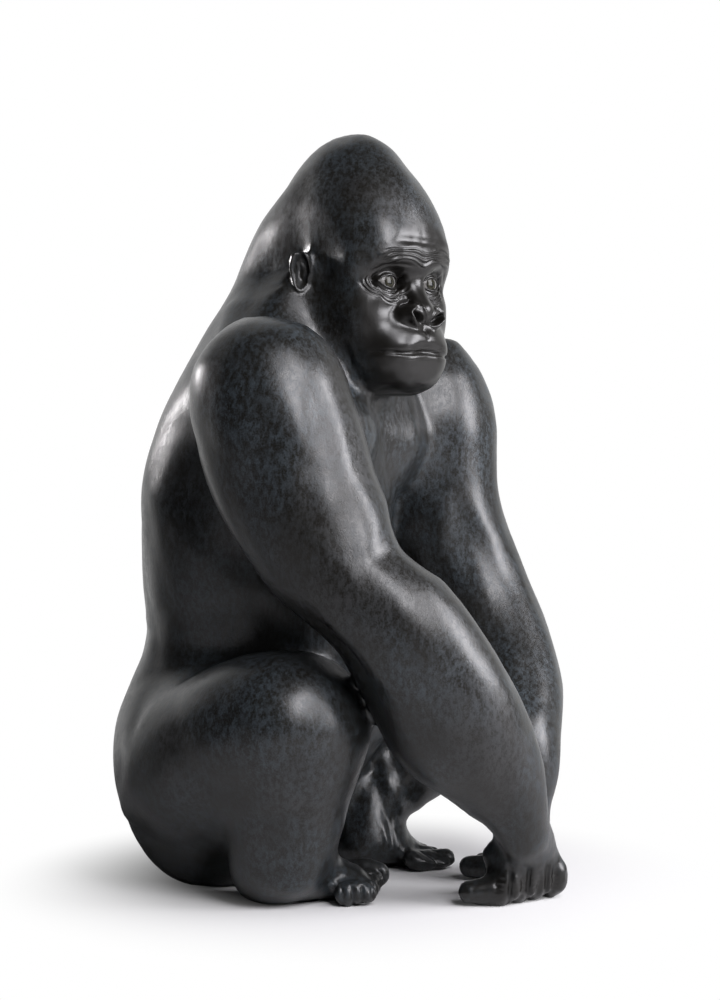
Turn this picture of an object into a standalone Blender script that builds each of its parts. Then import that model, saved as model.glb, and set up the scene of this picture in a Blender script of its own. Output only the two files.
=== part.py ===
"""Seated gorilla figurine, cast in one piece.

The figure is built the way it would be modelled in clay.  Masses, each a ball or a tapered rod of
oval section, are laid over the joints of a skeleton.  A voxel remesh makes one closed skin of
them, and the skin is settled onto the surface in which the masses of each limb melt together and
the limbs meet in creases.  The base is pressed flat on the table.  Sizes are in millimetres, +Z
is up, the figure faces -Y and its own left side is +X.
"""

import math
from typing import NamedTuple

import bmesh
import bpy
import numpy as np

MM = 0.001

# Skeleton: joint places
SHOULDER_R = (-86, 19, 240)
ELBOW_R = (-87, -27, 150)
WRIST_R = (-36, -87, 34)
SHOULDER_L = (80, 9, 243)
ELBOW_L = (85, -24, 141)
WRIST_L = (31, -66, 38)
HIP_R = (-64, 60, 62)
KNEE_R = (-87, 8, 86)
ANKLE_R = (-78, 14, 28)
HIP_L = (62, 60, 62)
KNEE_L = (86, -16, 86)
ANKLE_L = (23, 17, 27)
HEAD_CENTRE = (0, 13, 300)
HEAD_TURN = -20

# Feet: heel and ball of the foot from the ankle, seen from above
HEEL_R = (5, 14)
SOLE_R = (26, -22)
HEEL_L = (-8, 1)
SOLE_L = (10, -17)

# Hands: outer knuckle from the wrist, step to the next knuckle, and fold of the outer and inner finger
KNUCKLE_R = (-1, 6)
KNUCKLE_STEP_R = (8.3, -4.8)
FOLDS_R = ((-8, 15, 0), (-1, 16, 0))
KNUCKLE_L = (8, -1)
KNUCKLE_STEP_L = (-8.8, -3.2)
FOLDS_L = ((5, 12, 0), (-1, 31, 0))
FINGERS = 4
TOES = 5

# Girths: half sizes of the limbs and the trunk
CHEST = (77, 61)
WAIST = (70, 56)
UPPER_ARM = 35
ELBOW = 26
FOREARM = 31
WRIST = 15
PALM = 17
BUTTOCK = (46, 49, 58)
SEAT_PRESS = 4
THIGH = 40
KNEE = 35
ANKLE_GIRTH_R = 25
ANKLE_GIRTH_L = 15
SKULL = (37, 46, 50)
FINGER = 8.2
TOE = 6.0

# How softly the clay is joined
CREASE = 2.5
MELT = 20
MELT_REACH = 48

# Skin
VOXEL = 2.2
TRIANGLES = 11800
SOFTEN_STEPS = 6
SETTLE_ROUNDS = 2
SETTLE_STEPS = 3
SETTLE_STRIDE = 3.0
FAR = 1e3
TABLE_GRIP = 0.7
FINE_FACE = 34
FINE_HAND = 30
FINE_FOOT = 24


class Rod(NamedTuple):
    """Clay from a to b, with three radii at each end along the rows of frame."""

    a: np.ndarray
    b: np.ndarray
    radii_a: np.ndarray
    radii_b: np.ndarray
    frame: np.ndarray


class Mass(NamedTuple):
    """Rods that follow each other, and how widely they melt into the mass before."""

    rods: list
    blend: float


class Limb(NamedTuple):
    """Masses that melt together, and the place where they melt into the rest."""

    masses: list
    root: tuple
    melt: float
    reach: float


def turned(tilt, roll, turn):
    """Rows of a frame tilted about X, rolled about Y and then turned about Z, in degrees."""
    x, y, z = (math.radians(angle) for angle in (tilt, roll, turn))
    about_x = np.array([[1, 0, 0], [0, math.cos(x), -math.sin(x)], [0, math.sin(x), math.cos(x)]])
    about_y = np.array([[math.cos(y), 0, math.sin(y)], [0, 1, 0], [-math.sin(y), 0, math.cos(y)]])
    about_z = np.array([[math.cos(z), -math.sin(z), 0], [math.sin(z), math.cos(z), 0], [0, 0, 1]])
    return (about_z @ about_y @ about_x).T


def ball(centre, radii, angles=(0, 0, 0), blend=12.0):
    """One ball of clay with its three radii, turned by angles."""
    point = np.array(centre, float)
    size = np.array(radii, float)
    return Mass([Rod(point, point, size, size, turned(*angles))], blend)


def between(start, end, share, shift=(0, 0, 0)):
    """The point a share of the way from start to end, shifted."""
    start, end = np.array(start, float), np.array(end, float)
    return start + (end - start) * share + np.array(shift, float)


def spline(rows, t):
    """Catmull-Rom value of the rows at t, counted in rows."""
    last = len(rows) - 1
    i = min(int(t), last - 1)
    before, here = rows[max(i - 1, 0)], rows[i]
    then, after = rows[i + 1], rows[min(i + 2, last)]
    s = t - i
    return 0.5 * (2 * here + (then - before) * s
                  + (2 * before - 5 * here + 4 * then - after) * s**2
                  + (3 * here - before - 3 * then + after) * s**3)


def roll(stations, blend=12.0, pieces=3, wide=(1, 0, 0)):
    """Rods along (point, half width, half depth) stations; wide is the direction of the width."""
    rows = np.array([[*point, width, depth] for point, width, depth in stations], float)
    count = (len(rows) - 1) * pieces
    knots = [spline(rows, n / pieces) for n in range(count + 1)]
    chain = []
    for one, two in zip(knots, knots[1:]):
        along = (two[:3] - one[:3]) / np.linalg.norm(two[:3] - one[:3])
        side = np.array(wide, float)
        side -= along * (side @ along)
        side /= np.linalg.norm(side)
        frame = np.array([side, np.cross(along, side), along])
        sizes = [np.array([knot[3], knot[4], min(knot[3], knot[4])]) for knot in (one, two)]
        chain.append(Rod(one[:3], two[:3], sizes[0], sizes[1], frame))
    return Mass(chain, blend)


def on_head(side, forward, up):
    """A place given from the middle of the head, in the figure's millimetres."""
    turn = math.radians(HEAD_TURN)
    c, s = math.cos(turn), math.sin(turn)
    return np.array(HEAD_CENTRE) + np.array([side * c + forward * s, side * s - forward * c, up])


def trunk():
    """Back, chest and belly, with the muscles of the chest, neck and shoulder blades."""
    wide, deep = CHEST
    low_wide, low_deep = WAIST
    masses = [roll([
        ((0, 62, 60), low_wide - 6, low_deep - 8),
        ((0, 64, 122), low_wide, low_deep),
        ((0, 60, 172), wide, deep - 1),
        ((0, 54, 222), wide - 3, deep - 7),
        ((0, 46, 256), wide - 19, deep - 14),
        ((0, 41, 285), wide - 42, deep - 20),
        ((0, 31, 314), wide - 47, deep - 25),
    ], blend=18)]
    masses.append(ball((0, 24, 116), (70, 40, 62), blend=16))
    for side in (-1, 1):
        masses.append(ball((side * 32, 16, 222), (34, 26, 30), (0, side * 12, 0), blend=10))
        masses.append(ball((side * 45, 40, 245), (43, 31, 24), (0, side * 22, 0), blend=20))
        masses.append(ball((side * 34, 75, 194), (34, 27, 44), blend=20))
    return Limb(masses, (0, 0, 0), 0, 1)


def head():
    """Skull with its crest, brow, cheeks, nose, muzzle and chin."""
    wide, long, high = SKULL
    turn = (0, 0, HEAD_TURN)
    masses = [
        ball(on_head(0, -2, 17), (wide, long, high), turn, 14),
        ball(on_head(0, 0, 41.5), (20, 26, 32), turn, 14),
        ball(on_head(0, 14, 20), (wide - 2, long - 12, 25), turn, 8),
        ball(on_head(0, -6, -20), (36, 38, 34), turn, 14),
        ball(on_head(0, 24, -44), (25, 24, 14), turn, 8),
        ball(on_head(0, 16, -9), (31, 24, 22), turn, 8),
    ]
    masses += [roll([
        (on_head(-30, 28, 4), 5, 5),
        (on_head(-17, 39.5, 9), 5.5, 5.5),
        (on_head(0, 42.5, 8), 5.5, 5.5),
        (on_head(17, 39.5, 9), 5.5, 5.5),
        (on_head(30, 28, 4), 5, 5),
    ], blend=12, pieces=2, wide=(0, 0, 1))]
    for side in (-1, 1):
        masses.append(ball(on_head(side * 11, 24.5, -34), (16, 24.5, 18), turn, 10))
        masses.append(ball(on_head(side * 23, 19, -18), (13, 19, 18), turn, 10))
        masses.append(ball(on_head(side * 15, 32, -3), (8, 8, 7), turn, 4))
        masses.append(ball(on_head(side * 8, 43.5, -20), (7, 6.5, 6), turn, 3))
    masses.append(roll([(on_head(0, 37, 0), 5, 5), (on_head(0, 46, -17), 6, 5)], 5, 2))
    return Limb(masses, tuple(np.array(HEAD_CENTRE) + (0, 37, -8)), 28, 40)


def ear(side):
    """A thin upright shell that stands off the side of the head."""
    at = on_head(side * 40.5, 3, 0)
    turn = (0, side * 8, HEAD_TURN - side * 28)
    shell = ball(at, (3.8, 7.5, 12.5), turn, 1)
    lobe = ball(at + np.array([0, 0, -9]), (3, 4.5, 7), turn, 3)
    return Limb([shell, lobe], tuple(at), 2, 20)


def arm(shoulder, elbow, wrist, bow, lean, bulge, side):
    """Upper arm and forearm; lean sets the upper arm back, bow and bulge shape the forearm."""
    bow = np.array(bow, float)
    masses = [roll([
        (between(shoulder, elbow, 0.0), UPPER_ARM - 1, UPPER_ARM + 1),
        (between(shoulder, elbow, 0.22, (0, 4, 0)), UPPER_ARM, UPPER_ARM + 3),
        (between(shoulder, elbow, 0.47, (0, lean, 0)), UPPER_ARM - 2, UPPER_ARM + 2),
        (between(shoulder, elbow, 0.82, (0, lean * 0.7, 0)), UPPER_ARM - 6, UPPER_ARM - 3),
        (between(elbow, wrist, 0.0), ELBOW - 1, ELBOW),
        (between(elbow, wrist, 0.24, bow + (0, 1, 8)), FOREARM - 5, FOREARM - 2),
        (between(elbow, wrist, 0.52, bow + (0, -2, 1)), FOREARM - 5, FOREARM + 1),
        (between(elbow, wrist, 0.76, bulge), FOREARM - 9, FOREARM - 8),
        (between(elbow, wrist, 0.92, (0, -4, 3)), WRIST + 1, WRIST + 1),
        (wrist, WRIST, WRIST - 1),
    ], blend=8)]
    root = between(shoulder, elbow, 0, (-side * 20, 18, 6))
    return Limb(masses, tuple(root), MELT, MELT_REACH)


def hand(wrist, knuckle, step, folds):
    """Palm, and bent fingers that stand on the table and fold back under it."""
    across = np.array([*step, 0.0])
    first = np.array([wrist[0] + knuckle[0], wrist[1] + knuckle[1], 0.0])
    palm = first + across * (FINGERS - 1) / 2
    masses = [roll([
        (wrist, WRIST, WRIST - 2),
        (between(wrist, palm + (0, 0, 22), 0.6), PALM - 1, PALM - 5),
        (palm + (0, 0, 18), PALM, PALM - 7),
    ], blend=4, pieces=2, wide=tuple(across))]
    fingers = []
    for n in range(FINGERS):
        base = first + across * n
        tip = base + between(*folds, n / (FINGERS - 1))
        fingers += [roll([
            (base + (0, 8, 24), FINGER - 1.6, FINGER),
            (base + (0, 0, FINGER + 4), FINGER - 1.4, FINGER + 1),
            (base + (0, 1, FINGER), FINGER - 1.4, FINGER),
            (between(base, tip, 0.4, (0, 0, FINGER - 1)), FINGER - 1.6, FINGER - 1),
            (tip + (0, 0, FINGER - 2), FINGER - 3, FINGER - 3),
        ], blend=0.8, pieces=2, wide=tuple(across))]
    return masses, fingers


def leg(hip, knee, ankle, girth, side):
    """Buttock, thigh and shin of a folded leg; girth is the half size of the ankle."""
    masses = [
        ball((side * 40, 70, BUTTOCK[2] - SEAT_PRESS), BUTTOCK, (0, 0, 0), 16),
        ball((side * 42, 74, 84), (38, 42, 34), (0, 0, 0), 16),
    ]
    masses += [roll([
        (hip, THIGH, THIGH + 4),
        (between(hip, knee, 0.5, (0, 0, 2)), THIGH - 1, THIGH + 2),
        (knee, KNEE - 2, KNEE + 3),
    ], blend=12, wide=(0, 0, 1))]
    masses += [roll([
        (between(knee, ankle, 0.1), KNEE - 3, KNEE),
        (between(knee, ankle, 0.55), (KNEE + girth) / 2 - 2, (KNEE + girth) / 2),
        (ankle, girth, girth),
    ], blend=12)]
    return Limb(masses, (side * 36, 104, 108), 20, 50)


def foot(ankle, heel, sole, side):
    """Heel, sole and toes of a foot that points from heel to sole."""
    heel = np.array([ankle[0] + heel[0], ankle[1] + heel[1], 0.0])
    sole = np.array([ankle[0] + sole[0], ankle[1] + sole[1], 0.0])
    ahead = (sole - heel) / np.linalg.norm(sole - heel)
    across = np.array([-ahead[1], ahead[0], 0.0])
    masses = [roll([
        (heel + (0, 0, 13), 15, 13),
        (between(heel, sole, 0.5, (0, 0, 12.5)), 15.5, 12.5),
        (sole + (0, 0, 8), 15, 8),
    ], blend=10, wide=tuple(across))]
    toes = []
    for n in range(TOES):
        # the count starts at the big toe, on the inner side of the foot
        size = TOE + 1 if n == 0 else TOE - 0.5
        start = sole + across * side * TOE * 1.5 * (n - TOES // 2) - ahead * n + (0, 0, size)
        end = start + ahead * (15 - 1.2 * n)
        toes.append(roll([
            (start, size - 0.5, size),
            (between(start, end, 0.55, (0, 0, 1)), size - 0.5, size),
            (end, size - 1, size - 1),
        ], blend=0.8, pieces=2, wide=tuple(across)))
    return masses, toes


def figure_limbs():
    """Every limb with its masses, from the trunk outwards."""
    arm_r = arm(SHOULDER_R, ELBOW_R, WRIST_R, (-6, -5, 1), 7, (2, -6, 2), -1)
    arm_l = arm(SHOULDER_L, ELBOW_L, WRIST_L, (8, 4, 0), 11, (-2, -3, 2), 1)
    palm_r, fingers_r = hand(WRIST_R, KNUCKLE_R, KNUCKLE_STEP_R, FOLDS_R)
    palm_l, fingers_l = hand(WRIST_L, KNUCKLE_L, KNUCKLE_STEP_L, FOLDS_L)
    leg_r = leg(HIP_R, KNEE_R, ANKLE_R, ANKLE_GIRTH_R, -1)
    leg_l = leg(HIP_L, KNEE_L, ANKLE_L, ANKLE_GIRTH_L, 1)
    foot_r, toes_r = foot(ANKLE_R, HEEL_R, SOLE_R, -1)
    foot_l, toes_l = foot(ANKLE_L, HEEL_L, SOLE_L, 1)
    leg_r.masses.extend(foot_r)
    leg_l.masses.extend(foot_l)
    arm_r.masses.extend(palm_r)
    arm_l.masses.extend(palm_l)
    digits = [Limb(masses, (0, 0, 0), CREASE / 2, 1) for masses in (fingers_r, fingers_l, toes_r, toes_l)]
    return [trunk(), head(), ear(-1), ear(1), leg_r, leg_l, arm_r, arm_l, *digits]


def soft_min(one, two, share):
    """The blend of two distances, and how much of the first is in it."""
    share = np.maximum(share, 1e-6)
    h = np.clip(0.5 + 0.5 * (two - one) / share, 0, 1)
    return two + (one - two) * h - share * h * (1 - h), h


def rod_distance(rod, points):
    """Distance to a rod and the direction out of it, at each point."""
    axis = rod.b - rod.a
    length = axis @ axis
    t = np.zeros(len(points)) if length < 1e-9 else np.clip((points - rod.a) @ axis / length, 0, 1)
    local = (points - rod.a - t[:, None] * axis) @ rod.frame.T
    radii = rod.radii_a + t[:, None] * (rod.radii_b - rod.radii_a)
    slope = local / radii**2
    near = np.linalg.norm(local / radii, axis=1)
    steep = np.linalg.norm(slope, axis=1) + 1e-9
    return near * (near - 1) / steep, (slope / steep[:, None]) @ rod.frame


def mass_distance(mass, points):
    """Distance to the nearest rod of a mass, and the direction out of it."""
    found, out = rod_distance(mass.rods[0], points)
    for rod in mass.rods[1:]:
        there, way = rod_distance(rod, points)
        nearer = there < found
        found[nearer] = there[nearer]
        out[nearer] = way[nearer]
    return found, out


def reach_of(mass):
    """Middle of a mass and the radius of a ball round it."""
    ends = np.array([end for rod in mass.rods for end in (rod.a, rod.b)])
    middle = (ends.min(axis=0) + ends.max(axis=0)) / 2
    thick = max(max(rod.radii_a.max(), rod.radii_b.max()) for rod in mass.rods)
    return middle, np.linalg.norm(ends - middle, axis=1).max() + thick


def limb_distance(masses, points):
    """Distance to masses that melt together, and the direction out of them."""
    found = np.full(len(points), FAR)
    out = np.zeros_like(points)
    for mass in masses:
        middle, reach = reach_of(mass)
        near = np.linalg.norm(points - middle, axis=1) < reach + mass.blend + 8
        if not near.any():
            continue
        there, way = mass_distance(mass, points[near])
        mixed, h = soft_min(found[near], there, mass.blend)
        fresh = found[near] > FAR / 2
        mixed = np.where(fresh, there, mixed)
        h = np.where(fresh, 0, h)[:, None]
        out[near] = out[near] * h + way * (1 - h)
        found[near] = mixed
    return found, out


def figure_distance(limbs, points):
    """Distance to the whole figure, and the direction out of it."""
    found, out = limb_distance(limbs[0].masses, points)
    for limb in limbs[1:]:
        there, way = limb_distance(limb.masses, points)
        apart = np.linalg.norm(points - np.array(limb.root, float), axis=1)
        share = CREASE + (limb.melt - CREASE) * np.exp(-((apart / limb.reach) ** 2))
        found, h = soft_min(found, there, share)
        out = out * h[:, None] + way * (1 - h[:, None])
    return found, out


def unit_ball():
    """Points and faces of a ball of radius one."""
    clay = bmesh.new()
    bmesh.ops.create_icosphere(clay, subdivisions=3, radius=1.0)
    points = np.array([vertex.co for vertex in clay.verts])
    faces = np.array([[vertex.index for vertex in face.verts] for face in clay.faces])
    clay.free()
    return points, faces


def clay_lump(limbs):
    """All the masses as balls in one mesh, in metres."""
    unit, faces = unit_ball()
    points, triangles = [], []
    for rod in (rod for limb in limbs for mass in limb.masses for rod in mass.rods):
        steps = 1 + int(np.linalg.norm(rod.b - rod.a) // 4)
        for n in range(steps + 1):
            t = n / steps
            radii = rod.radii_a + t * (rod.radii_b - rod.radii_a)
            triangles.append(faces + len(unit) * len(points))
            points.append((unit * radii) @ rod.frame + rod.a + t * (rod.b - rod.a))
    mesh = bpy.data.meshes.new("clay")
    mesh.from_pydata(np.concatenate(points) * MM, [], np.concatenate(triangles).tolist())
    return mesh


def settle(mesh, limbs):
    """Move the skin onto the surface of the melted masses, and press it flat on the table."""
    points = np.empty(len(mesh.vertices) * 3, np.float32)
    mesh.vertices.foreach_get("co", points)
    points = points.reshape(-1, 3).astype(float) / MM
    for _ in range(SETTLE_STEPS):
        found, out = figure_distance(limbs, points)
        length = np.linalg.norm(out, axis=1, keepdims=True) + 1e-9
        points -= np.clip(found, -SETTLE_STRIDE, SETTLE_STRIDE)[:, None] * out / length
    points[:, 2] = np.maximum(points[:, 2], 0)
    mesh.vertices.foreach_set("co", (points * MM).astype(np.float32).ravel())
    mesh.update()


def apply_modifiers(body):
    """Replace an object's mesh by what its modifiers make of it."""
    graph = bpy.context.evaluated_depsgraph_get()
    mesh = bpy.data.meshes.new_from_object(body.evaluated_get(graph))
    body.modifiers.clear()
    body.data = mesh
    return mesh


def fine_places():
    """Middle and radius of the face, the hands and the feet, which keep more triangles."""
    found = [(on_head(0, 30, -15), FINE_FACE)]
    found += [(np.array([*wrist[:2], FINGER]), FINE_HAND) for wrist in (WRIST_R, WRIST_L)]
    for ankle, sole in ((ANKLE_R, SOLE_R), (ANKLE_L, SOLE_L)):
        found.append((np.array([ankle[0] + sole[0], ankle[1] + sole[1], TOE]), FINE_FOOT))
    return found


def thin_out(body):
    """Spend fewer triangles where the skin is plain and more on the face, hands and feet."""
    plain = body.vertex_groups.new(name="plain")
    places = fine_places()
    for vertex in body.data.vertices:
        point = np.array(vertex.co) / MM
        fine = max(math.exp(-(np.linalg.norm(point - middle) / size) ** 4) for middle, size in places)
        plain.add([vertex.index], 1 - 0.6 * fine, "REPLACE")
    count = sum(len(face.vertices) - 2 for face in body.data.polygons)
    thin = body.modifiers.new("thin_out", "DECIMATE")
    thin.ratio = TRIANGLES / count
    thin.vertex_group = plain.name
    thin.use_collapse_triangulate = True
    apply_modifiers(body)
    body.vertex_groups.clear()


def stand_on_table(body):
    """Put the middle of the base at the origin, with every point of the base at exactly zero."""
    points = np.empty(len(body.data.vertices) * 3, np.float32)
    body.data.vertices.foreach_get("co", points)
    points = points.reshape(-1, 3).astype(float)
    middle = (points.min(axis=0) + points.max(axis=0)) / 2
    points[:, :2] -= middle[:2]
    points[points[:, 2] < TABLE_GRIP * MM, 2] = 0
    body.data.vertices.foreach_set("co", points.astype(np.float32).ravel())
    body.data.update()


def porcelain():
    """Dark fired porcelain with a satin glaze."""
    material = bpy.data.materials.new("dark_porcelain")
    material.use_nodes = True
    shader = material.node_tree.nodes["Principled BSDF"]
    shader.inputs["Base Color"].default_value = (0.022, 0.024, 0.027, 1)
    shader.inputs["Roughness"].default_value = 0.38
    shader.inputs["Metallic"].default_value = 0
    return material


def figure(home):
    """The whole figurine as one closed skin."""
    limbs = figure_limbs()
    body = bpy.data.objects.new("gorilla", clay_lump(limbs))
    home.objects.link(body)
    remesh = body.modifiers.new("one_skin", "REMESH")
    remesh.mode = "VOXEL"
    remesh.voxel_size = VOXEL * MM
    for _ in range(SETTLE_ROUNDS):
        smooth = body.modifiers.new("soften", "SMOOTH")
        smooth.iterations = SOFTEN_STEPS
        settle(apply_modifiers(body), limbs)
    thin_out(body)
    stand_on_table(body)
    body.data.shade_smooth()
    body.data.materials.clear()
    body.data.materials.append(porcelain())
    return body


def main():
    for old in list(bpy.data.objects):
        bpy.data.objects.remove(old, do_unlink=True)
    home = bpy.data.collections.new("gorilla_figurine")
    bpy.context.scene.collection.children.link(home)
    figure(home)


main()
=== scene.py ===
"""Looks of the seated gorilla figurine: its fine skin, its eyes, its glaze and the studio.

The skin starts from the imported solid.  It is meshed finely and evenly, rounded onto the solid's own
surface, and then modelled in the clay's manner: folds, lids, nostrils, lips, fingers, toes and
strands are pushed in or built up on it.  All modelling marks are in millimetres in the part's
frame, meshes are in metres, +Z is up and the figure faces -Y.
"""

import logging
import math
from collections.abc import Sequence
from dataclasses import dataclass, field
from enum import Enum

import bmesh
import bpy
import numpy as np
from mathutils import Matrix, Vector
from mathutils.bvhtree import BVHTree


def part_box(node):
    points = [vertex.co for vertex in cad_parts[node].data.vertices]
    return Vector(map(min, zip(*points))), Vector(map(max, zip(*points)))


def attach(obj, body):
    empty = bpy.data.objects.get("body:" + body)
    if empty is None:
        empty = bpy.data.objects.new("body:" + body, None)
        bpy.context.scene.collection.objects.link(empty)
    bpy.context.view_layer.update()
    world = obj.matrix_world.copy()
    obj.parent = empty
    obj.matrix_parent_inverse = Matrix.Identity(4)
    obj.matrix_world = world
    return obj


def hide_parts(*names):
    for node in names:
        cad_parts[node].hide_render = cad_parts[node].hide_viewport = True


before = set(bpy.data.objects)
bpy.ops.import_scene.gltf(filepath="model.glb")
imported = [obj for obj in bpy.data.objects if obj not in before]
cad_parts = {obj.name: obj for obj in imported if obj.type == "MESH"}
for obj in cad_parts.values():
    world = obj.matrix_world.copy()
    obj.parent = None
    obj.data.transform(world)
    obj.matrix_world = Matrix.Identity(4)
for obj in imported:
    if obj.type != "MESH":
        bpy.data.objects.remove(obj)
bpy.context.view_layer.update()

MM = 0.001
BODY = "root"
NODE = "gorilla"

log = logging.getLogger("figurine")


class Side(Enum):
    """The figure's own right and left."""

    RIGHT = -1
    LEFT = 1


def smooth_step(low: float, high: float, values: np.ndarray) -> np.ndarray:
    """Ease from 0 at low to 1 at high.

    Args:
        low: Value at which the result is 0.
        high: Value at which the result is 1.
        values: Values to ease.

    Returns:
        Eased values from 0 to 1.
    """
    t = np.clip((values - low) / (high - low), 0, 1)
    return t * t * (3 - 2 * t)


def curve_through(points: Sequence[Sequence[float]], step: float) -> np.ndarray:
    """Points along a smooth line through the given ones.

    Args:
        points: Two or more points in two or three dimensions.
        step: Distance between the points that are returned.

    Returns:
        One row for each point of the line.
    """
    rows = np.array(points, float)
    if len(rows) == 2:
        count = max(2, int(np.linalg.norm(rows[1] - rows[0]) / step) + 1)
        return rows[0] + np.linspace(0, 1, count)[:, None] * (rows[1] - rows[0])
    line = []
    for n in range(len(rows) - 1):
        before, here = rows[max(n - 1, 0)], rows[n]
        then, after = rows[n + 1], rows[min(n + 2, len(rows) - 1)]
        count = max(2, int(np.linalg.norm(then - here) / step) + 1)
        for s in np.linspace(0, 1, count, endpoint=n == len(rows) - 2):
            line.append(0.5 * (2 * here + (then - before) * s
                               + (2 * before - 5 * here + 4 * then - after) * s**2
                               + (3 * here - before - 3 * then + after) * s**3))
    return np.array(line)


def line_distance(places: np.ndarray, line: np.ndarray) -> tuple[np.ndarray, np.ndarray]:
    """Distance of each place to a line of points.

    Args:
        places: Rows of coordinates.
        line: Rows of the line's points, in the same coordinates.

    Returns:
        The distances, and how far along the line, from 0 to 1, the nearest point lies.
    """
    nearest = np.full(len(places), np.inf)
    along = np.zeros(len(places))
    steps = len(line) - 1
    for n in range(steps):
        run = line[n + 1] - line[n]
        t = np.clip((places - line[n]) @ run / max(run @ run, 1e-12), 0, 1)
        far = np.linalg.norm(places - line[n] - t[:, None] * run, axis=1)
        closer = far < nearest
        nearest[closer] = far[closer]
        along[closer] = (n + t[closer]) / steps
    return nearest, along


@dataclass(frozen=True)
class Stroke:
    """A ridge or a groove along a smooth line.

    Attributes:
        points: Points of the line.
        width: Half width at which it has faded to about a third.
        height: How far it rises, or sinks where negative.
        taper: Share of the length over which each end fades.
    """

    points: tuple[tuple[float, ...], ...]
    width: float
    height: float
    taper: float = 0.3

    def rise(self, places: np.ndarray) -> np.ndarray:
        """Height of the stroke at each place."""
        line = curve_through(self.points, self.width * 0.8)
        low, high = line.min(axis=0) - 3 * self.width, line.max(axis=0) + 3 * self.width
        near = ((places > low) & (places < high)).all(axis=1)
        found = np.zeros(len(places))
        if near.any():
            far, along = line_distance(places[near], line)
            ends = smooth_step(0, self.taper, along) * smooth_step(0, self.taper, 1 - along)
            found[near] = self.height * np.exp(-((far / self.width) ** 2)) * ends
        return found


@dataclass(frozen=True)
class Dab:
    """A soft oval bump, or a dent where its height is negative.

    Attributes:
        centre: Its middle.
        radii: Half sizes at which it has faded to about a third.
        height: How far it rises.
        turn: Its turn in degrees.
        flat: 2 for a bell shape, more for a flat top with steep sides.
    """

    centre: tuple[float, float]
    radii: tuple[float, float]
    height: float
    turn: float = 0.0
    flat: float = 2.0

    def rise(self, places: np.ndarray) -> np.ndarray:
        """Height of the dab at each place."""
        angle = math.radians(self.turn)
        x, y = (places - np.array(self.centre)).T
        across = (x * math.cos(angle) + y * math.sin(angle)) / self.radii[0]
        upward = (-x * math.sin(angle) + y * math.cos(angle)) / self.radii[1]
        return self.height * np.exp(-(np.hypot(across, upward) ** self.flat))


@dataclass
class Clay:
    """The skin as arrays while it is being modelled.

    Attributes:
        mesh: The mesh that the arrays belong to.
        points: Vertex places in millimetres.
        normals: Vertex normals.
    """

    mesh: bpy.types.Mesh
    points: np.ndarray = field(init=False)
    normals: np.ndarray = field(init=False)

    def __post_init__(self) -> None:
        """Read the mesh."""
        count = len(self.mesh.vertices)
        flat = np.empty(count * 3, np.float32)
        self.mesh.vertices.foreach_get("co", flat)
        self.points = flat.reshape(-1, 3).astype(float) / MM
        self.normals = np.empty((count, 3))
        self.read_normals()

    def read_normals(self) -> None:
        """Take the normals of the mesh as it is now."""
        flat = np.empty(len(self.mesh.vertices) * 3, np.float32)
        self.mesh.vertex_normals.foreach_get("vector", flat)
        self.normals = flat.reshape(-1, 3).astype(float)

    def store(self) -> None:
        """Write the places back to the mesh and take its new normals."""
        self.mesh.vertices.foreach_set("co", (self.points * MM).astype(np.float32).ravel())
        self.mesh.update()
        self.read_normals()

    def relax(self, rounds: int, amount: float, where: np.ndarray | float = 1.0,
              back: float = 1.03) -> None:
        """Even out the skin, without shrinking it unless back is 0.

        Args:
            rounds: How often each point moves to its neighbours and part of the way back.
            amount: Share of the way to the middle of the neighbours.
            where: Weight of the move at each point.
            back: Share of each move that the next one takes back.
        """
        edges = np.empty(len(self.mesh.edges) * 2, np.int32)
        self.mesh.edges.foreach_get("vertices", edges)
        one, two = edges.reshape(-1, 2).T
        total = len(self.points)
        count = np.bincount(one, minlength=total) + np.bincount(two, minlength=total)
        weight = np.broadcast_to(np.asarray(where, float), total)[:, None]
        moves = (amount, -amount * back) if back else (amount,)
        for share in moves * rounds:
            middle = np.empty_like(self.points)
            for axis in range(3):
                values = self.points[:, axis]
                middle[:, axis] = (np.bincount(one, values[two], total)
                                   + np.bincount(two, values[one], total)) / count
            self.points += share * weight * (middle - self.points)

    def mark(self, name: str, values: np.ndarray) -> None:
        """Keep one value for each point as a named attribute of the mesh."""
        attribute = self.mesh.attributes.get(name) or self.mesh.attributes.new(name, "FLOAT", "POINT")
        attribute.data.foreach_set("value", values.astype(np.float32))


@dataclass(frozen=True)
class View:
    """A flat view in which modelling marks are drawn.

    Attributes:
        origin: Its origin in millimetres.
        right: Direction of the first coordinate.
        up: Direction of the second coordinate.
        near: Marks act only on clay at least this far from the origin towards the viewer.
    """

    origin: tuple[float, float, float]
    right: tuple[float, float, float]
    up: tuple[float, float, float]
    near: float = 0.0

    @property
    def towards(self) -> np.ndarray:
        """Direction from the origin to the viewer."""
        return np.cross(self.right, self.up)

    def plane(self, points: np.ndarray) -> np.ndarray:
        """The two coordinates of each point in the view."""
        return (points - np.array(self.origin)) @ np.array([self.right, self.up]).T

    def depth(self, points: np.ndarray) -> np.ndarray:
        """How far each point lies towards the viewer."""
        return (points - np.array(self.origin)) @ self.towards

    def facing(self, clay: Clay) -> np.ndarray:
        """1 where the clay faces the viewer, fading to 0 where it turns away."""
        turned = smooth_step(0.0, 0.35, clay.normals @ self.towards)
        return turned * smooth_step(self.near - 4, self.near, self.depth(clay.points))

    def model(self, clay: Clay, marks: Sequence[Stroke | Dab], where: np.ndarray | float = 1.0) -> None:
        """Move the clay towards the viewer, or away, by marks drawn in this view.

        Args:
            clay: The clay.
            marks: The marks.
            where: Weight of the marks at each point.
        """
        plane = self.plane(clay.points)
        rise = sum(mark.rise(plane) for mark in marks) * self.facing(clay) * where
        clay.points += rise[:, None] * self.towards
        clay.store()


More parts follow.
